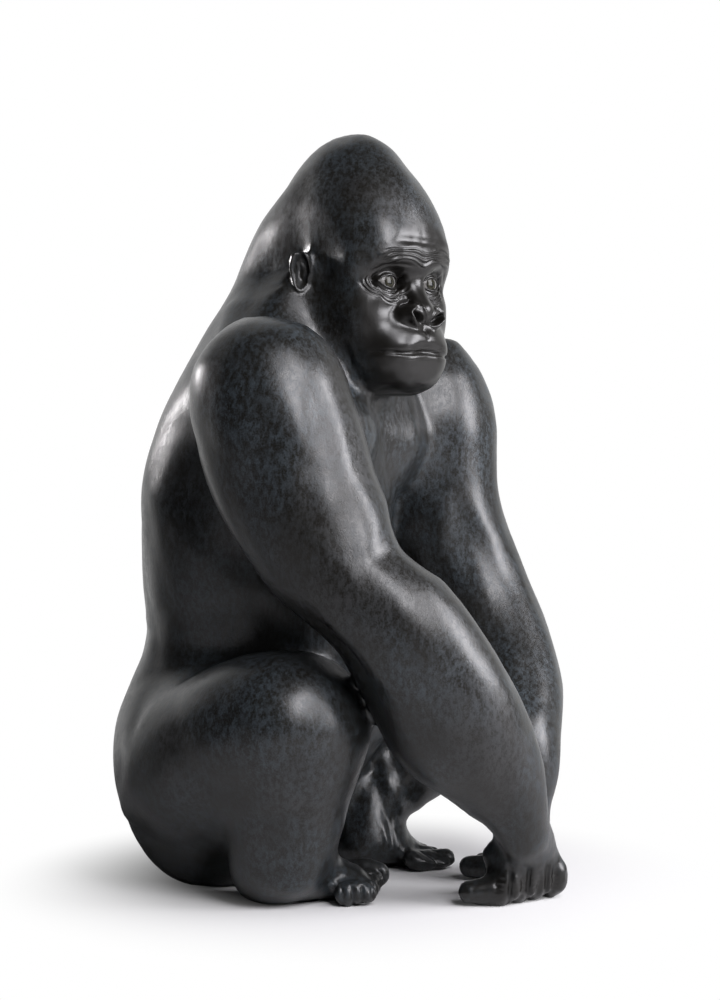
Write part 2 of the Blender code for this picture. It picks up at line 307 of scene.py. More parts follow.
def mirrored(marks: Sequence[Stroke | Dab]) -> list[Stroke | Dab]:
    """The marks and their mirror images across the view's upright middle line."""
    found: list[Stroke | Dab] = []
    for mark in marks:
        found.append(mark)
        if isinstance(mark, Stroke):
            points = tuple((-x, y) for x, y in mark.points)
            found.append(Stroke(points, mark.width, mark.height, mark.taper))
        else:
            x, y = mark.centre
            found.append(Dab((-x, y), mark.radii, mark.height, -mark.turn, mark.flat))
    return found


@dataclass(frozen=True)
class Detail:
    """A small region of the body that is modelled in a view of its own.

    Attributes:
        origin: Origin of the view, in millimetres.
        reach: Radius round the origin in which marks act.
        azimuth: Direction to the viewer, in degrees round from the front.
        marks: The marks, right and up from the origin.
        lump: Middle and radius of a lump that is evened out first.
        rounds: Rounds of that evening out.
    """

    origin: tuple[float, float, float]
    reach: float
    azimuth: float
    marks: tuple[Stroke | Dab, ...]
    lump: tuple[tuple[float, float, float], float]
    rounds: int = 20

    def model(self, clay: Clay) -> None:
        """Even out the lump, then model the marks."""
        middle, radius = self.lump
        apart = np.linalg.norm(clay.points - np.array(middle), axis=1)
        clay.relax(self.rounds, 0.5, smooth_step(radius, radius * 0.6, apart), back=0)
        clay.store()
        angle = math.radians(self.azimuth)
        view = View(self.origin, (math.cos(angle), math.sin(angle), 0.0), (0.0, 0.0, 1.0), -self.reach)
        apart = np.linalg.norm(clay.points - np.array(self.origin), axis=1)
        view.model(clay, self.marks, smooth_step(self.reach, self.reach * 0.8, apart))


@dataclass(frozen=True)
class Press:
    """A thumb's push that moves the clay round a place.

    Attributes:
        middle: Its middle, in millimetres.
        radius: Distance over which it fades.
        move: How far the clay moves, in millimetres.
    """

    middle: tuple[float, float, float]
    radius: float
    move: tuple[float, float, float]

    def model(self, clay: Clay) -> None:
        """Push the clay."""
        apart = np.linalg.norm(clay.points - np.array(self.middle), axis=1)
        clay.points += smooth_step(self.radius, 0, apart)[:, None] * np.array(self.move)
        clay.store()


@dataclass(frozen=True)
class Fingers:
    """Grooves between the fingers of a hand, and the folds over their last joints.

    Attributes:
        origin: Point on the floor under the fingers' middle, in millimetres.
        azimuth: Direction from which they are drawn, in degrees round from the front.
        edges: Where each finger ends, to the right of the origin.
        height: Height at which the grooves start.
        folds: Heights of the folds.
        lump: Middle and radius of the lump at the wrist that is evened out.
        reach: Radius round the origin in which the marks act.
    """

    origin: tuple[float, float, float]
    azimuth: float
    edges: tuple[float, ...]
    lump: tuple[tuple[float, float, float], float]
    height: float = 21.0
    folds: tuple[float, ...] = (8.0, 10.2, 12.6)
    reach: float = 42.0

    def detail(self) -> Detail:
        """The grooves, folds and finger pads in their view."""
        marks: list[Stroke | Dab] = []
        for x in self.edges[1:-1]:
            marks.append(Stroke(((x + 0.8, self.height), (x, 10), (x - 0.4, -2)), 1.3, -2.0, 0.25))
        for left, right in zip(self.edges, self.edges[1:]):
            middle, half = (left + right) / 2, (right - left) / 2 - 1.4
            marks.append(Dab((middle, 4.5), (half, 6.0), 0.8))
            for up in self.folds:
                line = ((middle - half, up - 0.3), (middle, up + 0.2), (middle + half, up - 0.3))
                marks.append(Stroke(line, 0.55, -0.55, 0.2))
        return Detail(self.origin, self.reach, self.azimuth, tuple(marks), self.lump)


@dataclass(frozen=True)
class Toes:
    """Short toes of a foot, parted by grooves.

    Attributes:
        origin: Point on the floor under the toes' middle, in millimetres.
        azimuth: Direction from which they are drawn, in degrees round from the front.
        gaps: Where the grooves run, to the right of the origin.
        height: Height at which they start.
        reach: Radius round the origin in which the marks act.
        instep: Height and radius of the instep's part that is evened out.
    """

    origin: tuple[float, float, float]
    azimuth: float
    gaps: tuple[float, ...]
    height: float = 10.5
    reach: float = 30.0
    instep: tuple[float, float] = (14.0, 8.0)

    def detail(self) -> Detail:
        """The grooves and the toes' tips in their view."""
        marks: list[Stroke | Dab] = []
        for x in self.gaps:
            marks.append(Stroke(((x - 0.8, self.height), (x, 5), (x + 0.4, -2)), 0.9, -1.5, 0.25))
            marks.append(Dab((x + 2.3, 3.6), (1.5, 2.6), 0.4))
        up, radius = self.instep
        return Detail(self.origin, self.reach, self.azimuth, tuple(marks), ((*self.origin[:2], up), radius))


@dataclass(frozen=True)
class Limbs:
    """Hands, feet and the hanging hair of the far shin.

    Attributes:
        fingers: Both hands, the nearer one first.
        toes: Both feet, the nearer one first.
        strands: Strands of hair that hang over the far shin and ankle.
        presses: Pushes that even the wrist out and flatten the far foot.
    """

    fingers: tuple[Fingers, Fingers] = (
        Fingers((-30, -97, 0), -66.0, (-16.0, -7.2, 1.7, 10.9, 18.5), ((-44, -84, 25), 17.0)),
        Fingers((27, -80, 0), 20.0, (-18.5, -9.3, 0.0, 9.3, 18.5), ((27, -70, 24), 8.0)),
    )
    toes: tuple[Toes, Toes] = (
        Toes((-52, -24, 0), -66.0, (-9.4, -4.8, -0.2, 4.4, 8.8)),
        Toes((38, -14, 0), 0.0, (-14.0, -7.0, 0.0, 7.0, 14.0)),
    )
    strands: Detail = Detail((20.0, -5.0, 35.0), 40.0, -66.0, (
        Stroke(((-8, 33), (-7, 17), (-3, 1), (1, -13), (4, -27)), 1.9, -2.0, 0.2),
        Stroke(((-3, 29), (0, 13), (6, -1), (13, -13)), 1.9, 1.5, 0.25),
        Stroke(((2, 27), (6, 13), (12, 1), (20, -9)), 1.7, -1.4, 0.25),
        Stroke(((8, 25), (13, 13), (20, 3), (27, -3)), 1.9, 1.2, 0.25),
        Stroke(((-5, 5), (-1, -11), (2, -25)), 1.6, 1.3, 0.25),
    ), ((20.0, -5.0, 35.0), 4.0))
    presses: tuple[Press, ...] = (
        Press((-43, -80, 25), 20.0, (3.4, -7.0, 0.0)),
        Press((22, -27, 16), 22.0, (0.0, 0.0, -5.0)),
        Press((27, -34, 13), 16.0, (0.0, 2.0, -3.5)),
    )

    def model(self, clay: Clay) -> None:
        """Model all of them."""
        for press in self.presses:
            press.model(clay)
        for part in (*self.fingers, *self.toes):
            part.detail().model(clay)
        self.strands.model(clay)


@dataclass(frozen=True)
class Eye:
    """One eyeball and the lids round it, in the head's coordinates: side, forward and up.

    Attributes:
        side: Which eye.
        centre: Middle of the ball.
        radius: Radius of the ball.
        half_width: Half the length of the opening between the lids.
        upper: Height of the upper lid's edge over the middle of the opening.
        lower: Depth of the lower lid's edge under it.
        slant: Rise of the outer corner, in degrees.
        lid: Thickness of the lids' rolled edge.
        gaze: Direction in which the eye looks.
    """

    side: Side
    centre: tuple[float, float, float]
    radius: float = 7.6
    half_width: float = 5.9
    upper: float = 2.7
    lower: float = 2.6
    slant: float = 4.0
    lid: float = 0.9
    gaze: tuple[float, float, float] = (-0.06, 1.0, -0.03)

    def opening(self, plane: np.ndarray) -> np.ndarray:
        """Distance of each place in the front view to the opening, negative inside it."""
        angle = math.radians(self.slant) * self.side.value
        x, y = (plane - np.array([self.centre[0], self.centre[2]])).T
        along = x * math.cos(angle) + y * math.sin(angle)
        above = -x * math.sin(angle) + y * math.cos(angle)
        bend = np.clip(1 - (along / self.half_width) ** 2, 0, 1) ** 0.75
        edge = np.where(above > 0, self.upper, self.lower) * bend
        beyond = np.maximum(np.abs(along) - self.half_width, 0)
        outside = np.hypot(beyond, np.maximum(np.abs(above) - edge, 0))
        inside = np.minimum(edge - np.abs(above), self.half_width - np.abs(along))
        return np.where(outside > 0, outside, -inside)

    def ball_depth(self, plane: np.ndarray) -> np.ndarray:
        """How far forward the ball's surface lies at each place of the front view."""
        apart = np.linalg.norm(plane - np.array([self.centre[0], self.centre[2]]), axis=1)
        return self.centre[1] + np.sqrt(np.clip(self.radius**2 - apart**2, 0, None))


@dataclass(frozen=True)
class Ear:
    """One ear: a small upright shell with a thin rim round a dark hollow.

    Attributes:
        side: Which ear.
        centre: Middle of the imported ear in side, forward and up.
        lift: How far the finished ear sits over it.
        shrink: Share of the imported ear's length and height that the finished ear keeps.
        flare: Turn of the shell away from the head, in degrees.
        radii: Half length and half height of the finished shell.
    """

    side: Side
    centre: tuple[float, float, float] = (42.0, 4.0, -1.6)
    lift: float = 4.2
    shrink: tuple[float, float] = (0.62, 0.78)
    flare: float = 23.0
    radii: tuple[float, float] = (4.3, 9.8)

    def marks(self) -> list[Stroke | Dab]:
        """The rim, the hollow and the fold inside it, forwards being positive."""
        wide, high = self.radii
        turns = np.linspace(0, 2 * math.pi, 17)
        lobe = [0.8 if math.sin(t) < -0.3 else 1 for t in turns]
        rim = tuple((wide * math.cos(t) * slim, high * math.sin(t)) for t, slim in zip(turns, lobe))
        marks = [
            Dab((0.3, 0.4), (wide * 0.74, high * 0.78), -4.5, turn=-4, flat=5),
            Stroke(rim, 0.9, 0.9, 0.01),
            Stroke(((-1.3, high * 0.55), (0.3, 1.0), (-0.6, -high * 0.45)), 0.7, 1.3),
            Dab((2.6, -3.2), (1.3, 2.0), 1.2),
        ]
        return marks if self.side is Side.RIGHT else mirrored(marks)[1::2]


@dataclass
class Head:
    """The head's own frame, its eyes and ears and everything that is modelled on the face.

    Attributes:
        centre: Middle of the head, in the part's millimetres.
        turn: Turn about Z, in degrees.
        eyes: The eyes.
        ears: The ears.
        smooth: Rounds that take the facets' traces out of the face.
        blend: Rounds that blend the nose's flanks into the cheeks.
    """

    centre: tuple[float, float, float] = (1.24, 4.57, 300.0)
    turn: float = -20.0
    eyes: tuple[Eye, Eye] = (Eye(Side.RIGHT, (-16.4, 33.3, -3.6)), Eye(Side.LEFT, (13.6, 33.6, -2.4)))
    ears: tuple[Ear, Ear] = (Ear(Side.RIGHT), Ear(Side.LEFT))
    smooth: int = 30
    blend: int = 70

    @property
    def sideways(self) -> np.ndarray:
        """Direction to the figure's left ear."""
        angle = math.radians(self.turn)
        return np.array([math.cos(angle), math.sin(angle), 0.0])

    @property
    def forward(self) -> np.ndarray:
        """Direction in which the face looks."""
        angle = math.radians(self.turn)
        return np.array([math.sin(angle), -math.cos(angle), 0.0])

    def place(self, side: float, ahead: float, up: float) -> np.ndarray:
        """A place given in the head's coordinates, in the part's millimetres."""
        return np.array(self.centre) + side * self.sideways + ahead * self.forward + np.array([0, 0, up])

    def local(self, points: np.ndarray) -> np.ndarray:
        """Side, forward and up of each point."""
        away = points - np.array(self.centre)
        return np.stack([away @ self.sideways, away @ self.forward, away[:, 2]], axis=1)

    @property
    def front(self) -> View:
        """The face seen from the front.  Its first coordinate grows to the figure's left."""
        return View(self.centre, tuple(self.sideways), (0.0, 0.0, 1.0), near=14.0)

    def beside(self, ear: Ear) -> View:
        """An ear seen along the direction in which its shell faces."""
        angle = math.radians(ear.flare)
        out = ear.side.value * math.cos(angle) * self.sideways + math.sin(angle) * self.forward
        side, ahead, up = ear.centre
        middle = self.place(ear.side.value * side, ahead, up + ear.lift)
        return View(tuple(middle - 6 * out), (-out[1], out[0], 0.0), (0.0, 0.0, 1.0), near=3.0)

    def face_mask(self, points: np.ndarray) -> np.ndarray:
        """1 on the bare face, fading to 0 on the haired head."""
        side, ahead, up = self.local(points).T
        oval = np.hypot(side / 32, np.where(up > -15, (up + 15) / 42, (up + 15) / 50))
        return smooth_step(1.1, 0.9, oval) * smooth_step(8, 22, ahead)

    def model(self, clay: Clay) -> None:
        """Even the face out, then model the ears and the face."""
        side, ahead, up = self.local(clay.points).T
        near = smooth_step(5, 15, ahead) * smooth_step(-64, -58, up)
        clay.relax(self.smooth, 0.55, near * smooth_step(44, 38, np.abs(side)))
        flank = np.hypot((np.abs(side + 0.5) - 17.5) / 6.5, (up + 20) / 13)
        clay.relax(self.blend, 0.5, near * smooth_step(1.0, 0.5, flank), back=0)
        clay.store()
        for ear in self.ears:
            self.model_ear(clay, ear)
        self.model_forms(clay)
        self.model_eyes(clay)
        self.model_lines(clay)

    def model_ear(self, clay: Clay, ear: Ear) -> None:
        """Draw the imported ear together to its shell, and hollow it."""
        side, ahead, up = self.local(clay.points).T
        out = side * ear.side.value
        apart = np.hypot(ahead - ear.centre[1], (up - ear.centre[2]) * 0.7)
        share = smooth_step(35.0, 38.5, out) * smooth_step(24, 15, apart)
        shift_ahead = (ear.centre[1] - ahead) * (1 - ear.shrink[0])
        shift_up = (ear.centre[2] - up) * (1 - ear.shrink[1]) + ear.lift
        clay.points += (share * shift_ahead)[:, None] * self.forward
        clay.points[:, 2] += share * shift_up
        clay.store()
        skin = smooth_step(26, 20, apart) * smooth_step(28, 32, out)
        clay.relax(6, 0.5, skin * (1 - 0.7 * share))
        root = np.hypot(ahead - ear.centre[1], (up - ear.centre[2] - ear.lift) * 0.7)
        clay.relax(14, 0.5, skin * smooth_step(8, 11, root), back=0)
        clay.store()
        self.beside(ear).model(clay, ear.marks())

    def model_forms(self, clay: Clay) -> None:
        """Sockets, nose, lips and chin, the broad forms of the face."""
        pairs = mirrored([
            Dab((15.5, 1.8), (8.0, 2.8), -2.0),
            Dab((17.5, -10.8), (10.5, 5.0), 2.7),
            Dab((9.0, -19.5), (4.6, 4.4), 1.5),
        ])
        middle = [
            Dab((-0.5, -17), (5.0, 6.5), 1.2),
            Dab((-0.8, -29.0), (10, 5.0), 4.2, flat=2.5),
            Stroke(((-24, -34.8), (-12, -34.4), (0, -33.6), (12, -34.4), (24, -34.8)), 2.6, 0.9),
            Stroke(((-20, -42.2), (-10, -41.6), (0, -41.0), (10, -41.6), (20, -42.2)), 2.4, 0.9),
        ]
        self.front.model(clay, pairs + middle)

    def model_eyes(self, clay: Clay) -> None:
        """Lids that lie on the balls, and the hollow behind each opening."""
        plane = self.front.plane(clay.points)
        facing = self.front.facing(clay)
        for eye in self.eyes:
            gap = eye.opening(plane)
            rim = eye.lid * np.exp(-(((gap - 0.8) / 0.8) ** 2))
            skin = np.where(gap > 0, 0.3 + rim, 0.0) - 2.2 * smooth_step(0.3, -0.5, gap)
            near = np.exp(-((np.maximum(gap, 0) / 3.0) ** 3)) * facing
            move = eye.ball_depth(plane) + skin - self.front.depth(clay.points)
            clay.points += (move * near)[:, None] * self.forward
        clay.store()

    def model_lines(self, clay: Clay) -> None:
        """Nostrils, creases and the line of the mouth."""
        pairs = mirrored([
            Stroke(((5.5, -14.4), (8.6, -15.0), (10.8, -17.0), (11.6, -19.8),
                    (10.4, -22.8), (7.6, -24.7), (4, -25.6)), 1.2, 1.5, 0.12),
            Dab((7.4, -20.9), (4.0, 1.8), -5.0, turn=31, flat=4),
            Stroke(((5.4, -13.0), (4.3, -17.2), (1.6, -21.0), (0.0, -22.4)), 0.8, 0.9),
            Stroke(((4, 3.4), (9, 4.4), (16, 4.8), (23, 3.2), (28, -1)), 0.9, -0.7),
        ])
        middle = [
            Stroke(((-24, 14.6), (-16, 16.1), (-8, 16.4), (0, 16.2),
                    (8, 16.4), (16, 16.1), (24, 14.6)), 2.0, -0.9, 0.25),
            Stroke(((-26.5, -38.6), (-22, -38.3), (-16, -38.7), (-8, -38.3), (0, -37.4),
                    (8, -38.0), (16, -38.7), (24, -38.5)), 0.75, -2.0, 0.06),
            Stroke(((-15, -36.0), (-4, -35.2), (5, -34.9), (15, -35.8)), 0.6, -0.5),
            Stroke(((-11, -40.2), (-4, -39.6), (4, -39.5), (13, -40.2)), 0.7, 0.7),
            Stroke(((-0.8, -25.2), (-0.8, -32.5)), 0.9, -1.0),
        ]
        self.front.model(clay, pairs + middle)

    def folds(self, clay: Clay) -> tuple[np.ndarray, np.ndarray]:
        """Where folds run round the eyes and across the brow.

        Args:
            clay: The modelled clay.

        Returns:
            Distance across the folds in millimetres, and the folds' strength.
        """
        plane = self.front.plane(clay.points)
        side, up = plane.T
        facing = self.front.facing(clay)
        gap = np.stack([eye.opening(plane) for eye in self.eyes]).min(axis=0)
        ring = smooth_step(0.7, 1.6, gap) * smooth_step(9.5, 7.0, gap)
        eyes = ring * smooth_step(-0.5, -4.5, up) * smooth_step(5.0, 8.5, np.abs(side))
        sag = 3.4 * np.exp(-(((side + 0.8) / 6.5) ** 2)) + 0.006 * side**2
        height = up + (sag + 0.5 * np.sin(side * 0.33 + up * 0.5)) - 10.0
        band = smooth_step(-3.4, -1.8, height) * smooth_step(5.0, 3.2, height)
        brow = band * smooth_step(26, 19, np.abs(side))
        distance = np.where(brow > 0, height * 0.78, gap)
        return distance, np.maximum(eyes, brow * 1.1) * facing


@dataclass
class Value:
    """A number on a socket of a shader that can be used in Python sums."""

    shading: "Shading"
    socket: bpy.types.NodeSocket

    def sum(self, operation: str, *others: "Value | float") -> "Value":
        """A Math node of this value and others."""
        sockets = dict(enumerate((self, *others)))
        return self.shading.node("ShaderNodeMath", {"operation": operation}, sockets)["Value"]

    def __add__(self, other: "Value | float") -> "Value":
        """This plus other."""
        return self.sum("ADD", other)

    __radd__ = __add__

    def __mul__(self, other: "Value | float") -> "Value":
        """This times other."""
        return self.sum("MULTIPLY", other)

    __rmul__ = __mul__

    def __sub__(self, other: "Value | float") -> "Value":
        """This less other."""
        return self.sum("SUBTRACT", other)

    def __rsub__(self, other: "Value | float") -> "Value":
        """Other less this."""
        return self.sum("MULTIPLY", -1.0) + other

    def larger(self, other: "Value | float") -> "Value":
        """The larger of this and other."""
        return self.sum("MAXIMUM", other)

    def ease(self, low: float, high: float) -> "Value":
        """Ease this value from 0 at low to 1 at high."""
        settings = {"interpolation_type": "SMOOTHSTEP"}
        sockets = {"Value": self, "From Min": low, "From Max": high}
        return self.shading.node("ShaderNodeMapRange", settings, sockets)["Result"]


class Outputs:
    """The named outputs of a node, as values."""

    def __init__(self, shading: "Shading", node: bpy.types.Node) -> None:
        """Keep the node."""
        self.shading = shading
        self.node = node

    def __getitem__(self, name: str) -> Value:
        """The output of that name, or the enabled one where several share it."""
        found = [socket for socket in self.node.outputs if socket.name == name and socket.enabled]
        return Value(self.shading, found[0])


class Shading:
    """A node tree under construction, and the shader that it feeds."""

    def __init__(self, owner: bpy.types.Material | bpy.types.World, shader: str) -> None:
        """Turn on the owner's nodes.

        Args:
            owner: Material or world.
            shader: Name of its shader node.
        """
        owner.use_nodes = True
        self.owner = owner
        self.tree = owner.node_tree
        self.shader = self.tree.nodes[shader]

    def connect(self, target: bpy.types.NodeSocket, value: object) -> None:
        """Link a value to a socket, or set the socket to a number or a colour."""
        if isinstance(value, Value):
            self.tree.links.new(value.socket, target)
        else:
            target.default_value = value

    def node(self, kind: str, settings: dict, sockets: dict) -> Outputs:
        """Add one node.

        Args:
            kind: Type of the node.
            settings: Its properties; stops is a list of (place, colour) for a colour ramp.
            sockets: Values, numbers or colours by the input's name or place.

        Returns:
            The node's outputs.
        """
        made = self.tree.nodes.new(kind)
        for name, setting in settings.items():
            if name == "stops":
                while len(made.color_ramp.elements) < len(setting):
                    made.color_ramp.elements.new(0.5)
                for element, (place, colour) in zip(made.color_ramp.elements, setting):
                    element.position, element.color = place, colour
            else:
                setattr(made, name, setting)
        for name, value in sockets.items():
            if isinstance(name, str):
                target = next(s for s in made.inputs if s.name == name and s.enabled)
            else:
                target = made.inputs[name]
            self.connect(target, value)
        return Outputs(self, made)

    def noise(self, where: Value, scale: float, detail: float = 3.0, rough: float = 0.5) -> Value:
        """Fractal noise from 0 to 1 over a place."""
        sockets = {"Vector": where, "Scale": scale, "Detail": detail, "Roughness": rough}
        return self.node("ShaderNodeTexNoise", {}, sockets)["Fac"]

    def mix(self, share: Value, one: object, two: object) -> Value:
        """Colour one, going over to colour two as the share goes from 0 to 1."""
        sockets = {"Factor": share, "A": one, "B": two}
        return self.node("ShaderNodeMix", {"data_type": "RGBA"}, sockets)["Result"]

    def attribute(self, name: str) -> Value:
        """A number kept on the piece's own mesh."""
        return self.node("ShaderNodeAttribute", {"attribute_name": name}, {})["Fac"]

    def place(self) -> Value:
        """Object coordinates."""
        return self.node("ShaderNodeTexCoord", {}, {})["Object"]

    def finish(self, name: str, value: object) -> None:
        """Set or link one input of the shader."""
        self.connect(self.shader.inputs[name], value)


@dataclass(frozen=True)
class Glaze:
    """Dark fired porcelain with a satin glaze that is mottled on the haired body.

    Attributes:
        night: Darkest colour of the glaze.
        slate: Light flecks of the haired parts.
        umber: Warm brown that shows in places.
        bare: Plain glaze of the face, the hands' and the feet's bare skin.
        satin: Roughness of the haired parts.
        polish: Roughness of the bare parts.
        shine: Level of the mirror-like reflection.
    """

    night: tuple[float, float, float, float] = (0.0052, 0.0044, 0.0030, 1)
    slate: tuple[float, float, float, float] = (0.030, 0.038, 0.045, 1)
    umber: tuple[float, float, float, float] = (0.020, 0.014, 0.010, 1)
    bare: tuple[float, float, float, float] = (0.0035, 0.0030, 0.0023, 1)
    satin: float = 0.33
    polish: float = 0.33
    shine: float = 0.42

    def material(self) -> bpy.types.Material:
        """The finished material."""
        shading = Shading(bpy.data.materials.new("mottled_glaze"), "Principled BSDF")
        place = shading.place()
        bare = shading.attribute("bare")
        drawn_out = {"Vector": place, "Scale": (1.0, 1.0, 0.6)}
        stretch = shading.node("ShaderNodeMapping", {}, drawn_out)["Vector"]
        clouds = shading.noise(place, 30.0, 4.0, 0.6).ease(0.28, 0.70)
        flecks = shading.noise(stretch, 430.0, 5.0, 0.68)
        specks = shading.noise(place, 1300.0, 3.0, 0.6)
        grain = flecks.ease(0.40, 0.62) * 0.65 + specks.ease(0.42, 0.62) * 0.35
        strength = grain * (clouds * 0.75 + 0.25)
        haired = shading.mix(strength, self.night, self.slate)
        warm = shading.noise(place, 17.0, 3.0, 0.5).ease(0.50, 0.70) * 0.7
        tinted = shading.mix(warm * strength, haired, self.umber)
        shading.finish("Base Color", shading.mix(bare, tinted, self.bare))
        gloss = (1 - grain * clouds) * 0.05 + grain * 0.16 + (self.satin - 0.08)
        shading.finish("Roughness", gloss * (1 - bare) + bare * self.polish)
        height = (flecks * 0.7 + specks * 0.3) * (1 - bare)
        bump = shading.node("ShaderNodeBump", {}, {"Strength": 0.2, "Distance": 0.0007, "Height": height})
        shading.finish("Normal", bump["Normal"])
        shading.finish("Specular IOR Level", self.shine)
        return shading.owner


@dataclass(frozen=True)
class EyeGlaze:
    """Painted and glazed eye: dark pupil, olive grey iris, dark rim and pale edge.

    Attributes:
        pupil: Radius of the pupil in millimetres.
        iris: Radius of the iris in millimetres.
        reach: Distance from the pupil's middle at which the painted colours end.
        wet: Roughness of the glaze.
        shine: Level of the mirror-like reflection.
    """

    pupil: float = 1.15
    iris: float = 2.9
    reach: float = 12.0
    wet: float = 0.12
    shine: float = 0.14

    def material(self) -> bpy.types.Material:
        """The finished material."""
        shading = Shading(bpy.data.materials.new("eye_glaze"), "Principled BSDF")
        apart = shading.attribute("from_pupil")
        share = apart * (1 / self.reach)
        stops = [
            (0.0, (0.002, 0.002, 0.002, 1)),
            (self.pupil / self.reach, (0.003, 0.003, 0.003, 1)),
            ((self.pupil + 0.3) / self.reach, (0.024, 0.023, 0.014, 1)),
            ((self.iris - 0.6) / self.reach, (0.016, 0.015, 0.010, 1)),
            (self.iris / self.reach, (0.004, 0.004, 0.003, 1)),
            ((self.iris + 0.5) / self.reach, (0.13, 0.125, 0.12, 1)),
        ]
        painted = shading.node("ShaderNodeValToRGB", {"stops": stops}, {"Fac": share})["Color"]
        streaks = shading.noise(shading.place(), 900.0, 3.0, 0.6).ease(0.3, 0.7) * 0.5
        shading.finish("Base Color", shading.mix(streaks, painted, (0.02, 0.02, 0.018, 1)))
        shading.finish("Roughness", self.wet)
        shading.finish("Specular IOR Level", self.shine)
        return shading.owner


@dataclass
class FoldTree:
    """Geometry Nodes that press concentric folds into a skin along its marked distances.

    Attributes:
        spacing: Distance from fold to fold, in millimetres.
        depth: Depth of a fold, in metres.
        wander: How far a fold wanders from its ring, in millimetres.
        scale: Scale of the noise behind that wandering.
        seed: Its seed.
    """

    spacing: float = 1.65
    depth: float = 0.00036
    wander: float = 0.12
    scale: float = 70.0
    seed: float = 4.0

    def tree(self, material: bpy.types.Material) -> bpy.types.NodeTree:
        """Build the tree.

        Args:
            material: Material that the finished skin gets.

        Returns:
            The node group, with the inputs Skin, Spacing, Depth, Wander and Seed.
        """
        group = bpy.data.node_groups.new("press_folds", "GeometryNodeTree")
        group.interface.new_socket("Skin", in_out="INPUT", socket_type="NodeSocketGeometry")
        for name in ("Spacing", "Depth", "Wander", "Seed"):
            group.interface.new_socket(name, in_out="INPUT", socket_type="NodeSocketFloat")
        group.interface.new_socket("Skin", in_out="OUTPUT", socket_type="NodeSocketGeometry")
        inputs = group.nodes.new("NodeGroupInput").outputs

        def node(kind: str, settings: dict, sockets: dict) -> bpy.types.Node:
            """Add one node with its settings and its links or values."""
            made = group.nodes.new(kind)
            for name, setting in settings.items():
                setattr(made, name, setting)
            for name, value in sockets.items():
                if isinstance(value, bpy.types.NodeSocket):
                    group.links.new(value, made.inputs[name])
                else:
                    made.inputs[name].default_value = value
            return made

        def maths(operation: str, one: object, two: object = 0.0) -> bpy.types.NodeSocket:
            """A Math node of two values."""
            return node("ShaderNodeMath", {"operation": operation}, {0: one, 1: two}).outputs[0]

        def marked(name: str) -> bpy.types.NodeSocket:
            """A value that the skin keeps at each point."""
            made = node("GeometryNodeInputNamedAttribute", {"data_type": "FLOAT"}, {"Name": name})
            return made.outputs["Attribute"]

        noise = node("ShaderNodeTexNoise", {"noise_dimensions": "4D"},
                     {"W": inputs["Seed"], "Scale": self.scale, "Detail": 1.0}).outputs[0]
        stray = maths("MULTIPLY", maths("SUBTRACT", noise, 0.5), maths("MULTIPLY", inputs["Wander"], 4.0))
        rings = maths("DIVIDE", maths("ADD", marked("fold_distance"), stray), inputs["Spacing"])
        wave = maths("SINE", maths("MULTIPLY", rings, 2 * math.pi))
        press = maths("MULTIPLY", maths("MULTIPLY", wave, inputs["Depth"]), marked("fold_strength"))
        normal = node("GeometryNodeInputNormal", {}, {}).outputs[0]
        offset = node("ShaderNodeVectorMath", {"operation": "SCALE"}, {0: normal, "Scale": press})
        moved = node("GeometryNodeSetPosition", {},
                     {"Geometry": inputs["Skin"], "Offset": offset.outputs[0]})
        real = node("GeometryNodeRealizeInstances", {}, {"Geometry": moved.outputs[0]})
        dressed = node("GeometryNodeSetMaterial", {}, {"Geometry": real.outputs[0], "Material": material})
        group.links.new(dressed.outputs[0], group.nodes.new("NodeGroupOutput").inputs[0])
        return group

    def apply(self, piece: bpy.types.Object, material: bpy.types.Material) -> None:
        """Press the folds into a piece and keep the result as its plain mesh.

        Args:
            piece: The piece, with the attributes fold_distance and fold_strength.
            material: Material that the finished skin gets.
        """
        modifier = piece.modifiers.new("press_folds", "NODES")
        modifier.node_group = self.tree(material)
        sizes = {"Spacing": self.spacing, "Depth": self.depth, "Wander": self.wander, "Seed": self.seed}
        for item in modifier.node_group.interface.items_tree:
            if item.in_out == "INPUT" and item.name in sizes:
                modifier[item.identifier] = sizes[item.name]
        bake(piece)


def bake(piece: bpy.types.Object) -> None:
    """Keep what an object's modifiers make of it as its plain mesh."""
    graph = bpy.context.evaluated_depsgraph_get()
    mesh = bpy.data.meshes.new_from_object(piece.evaluated_get(graph))
    piece.modifiers.clear()
    piece.data = mesh


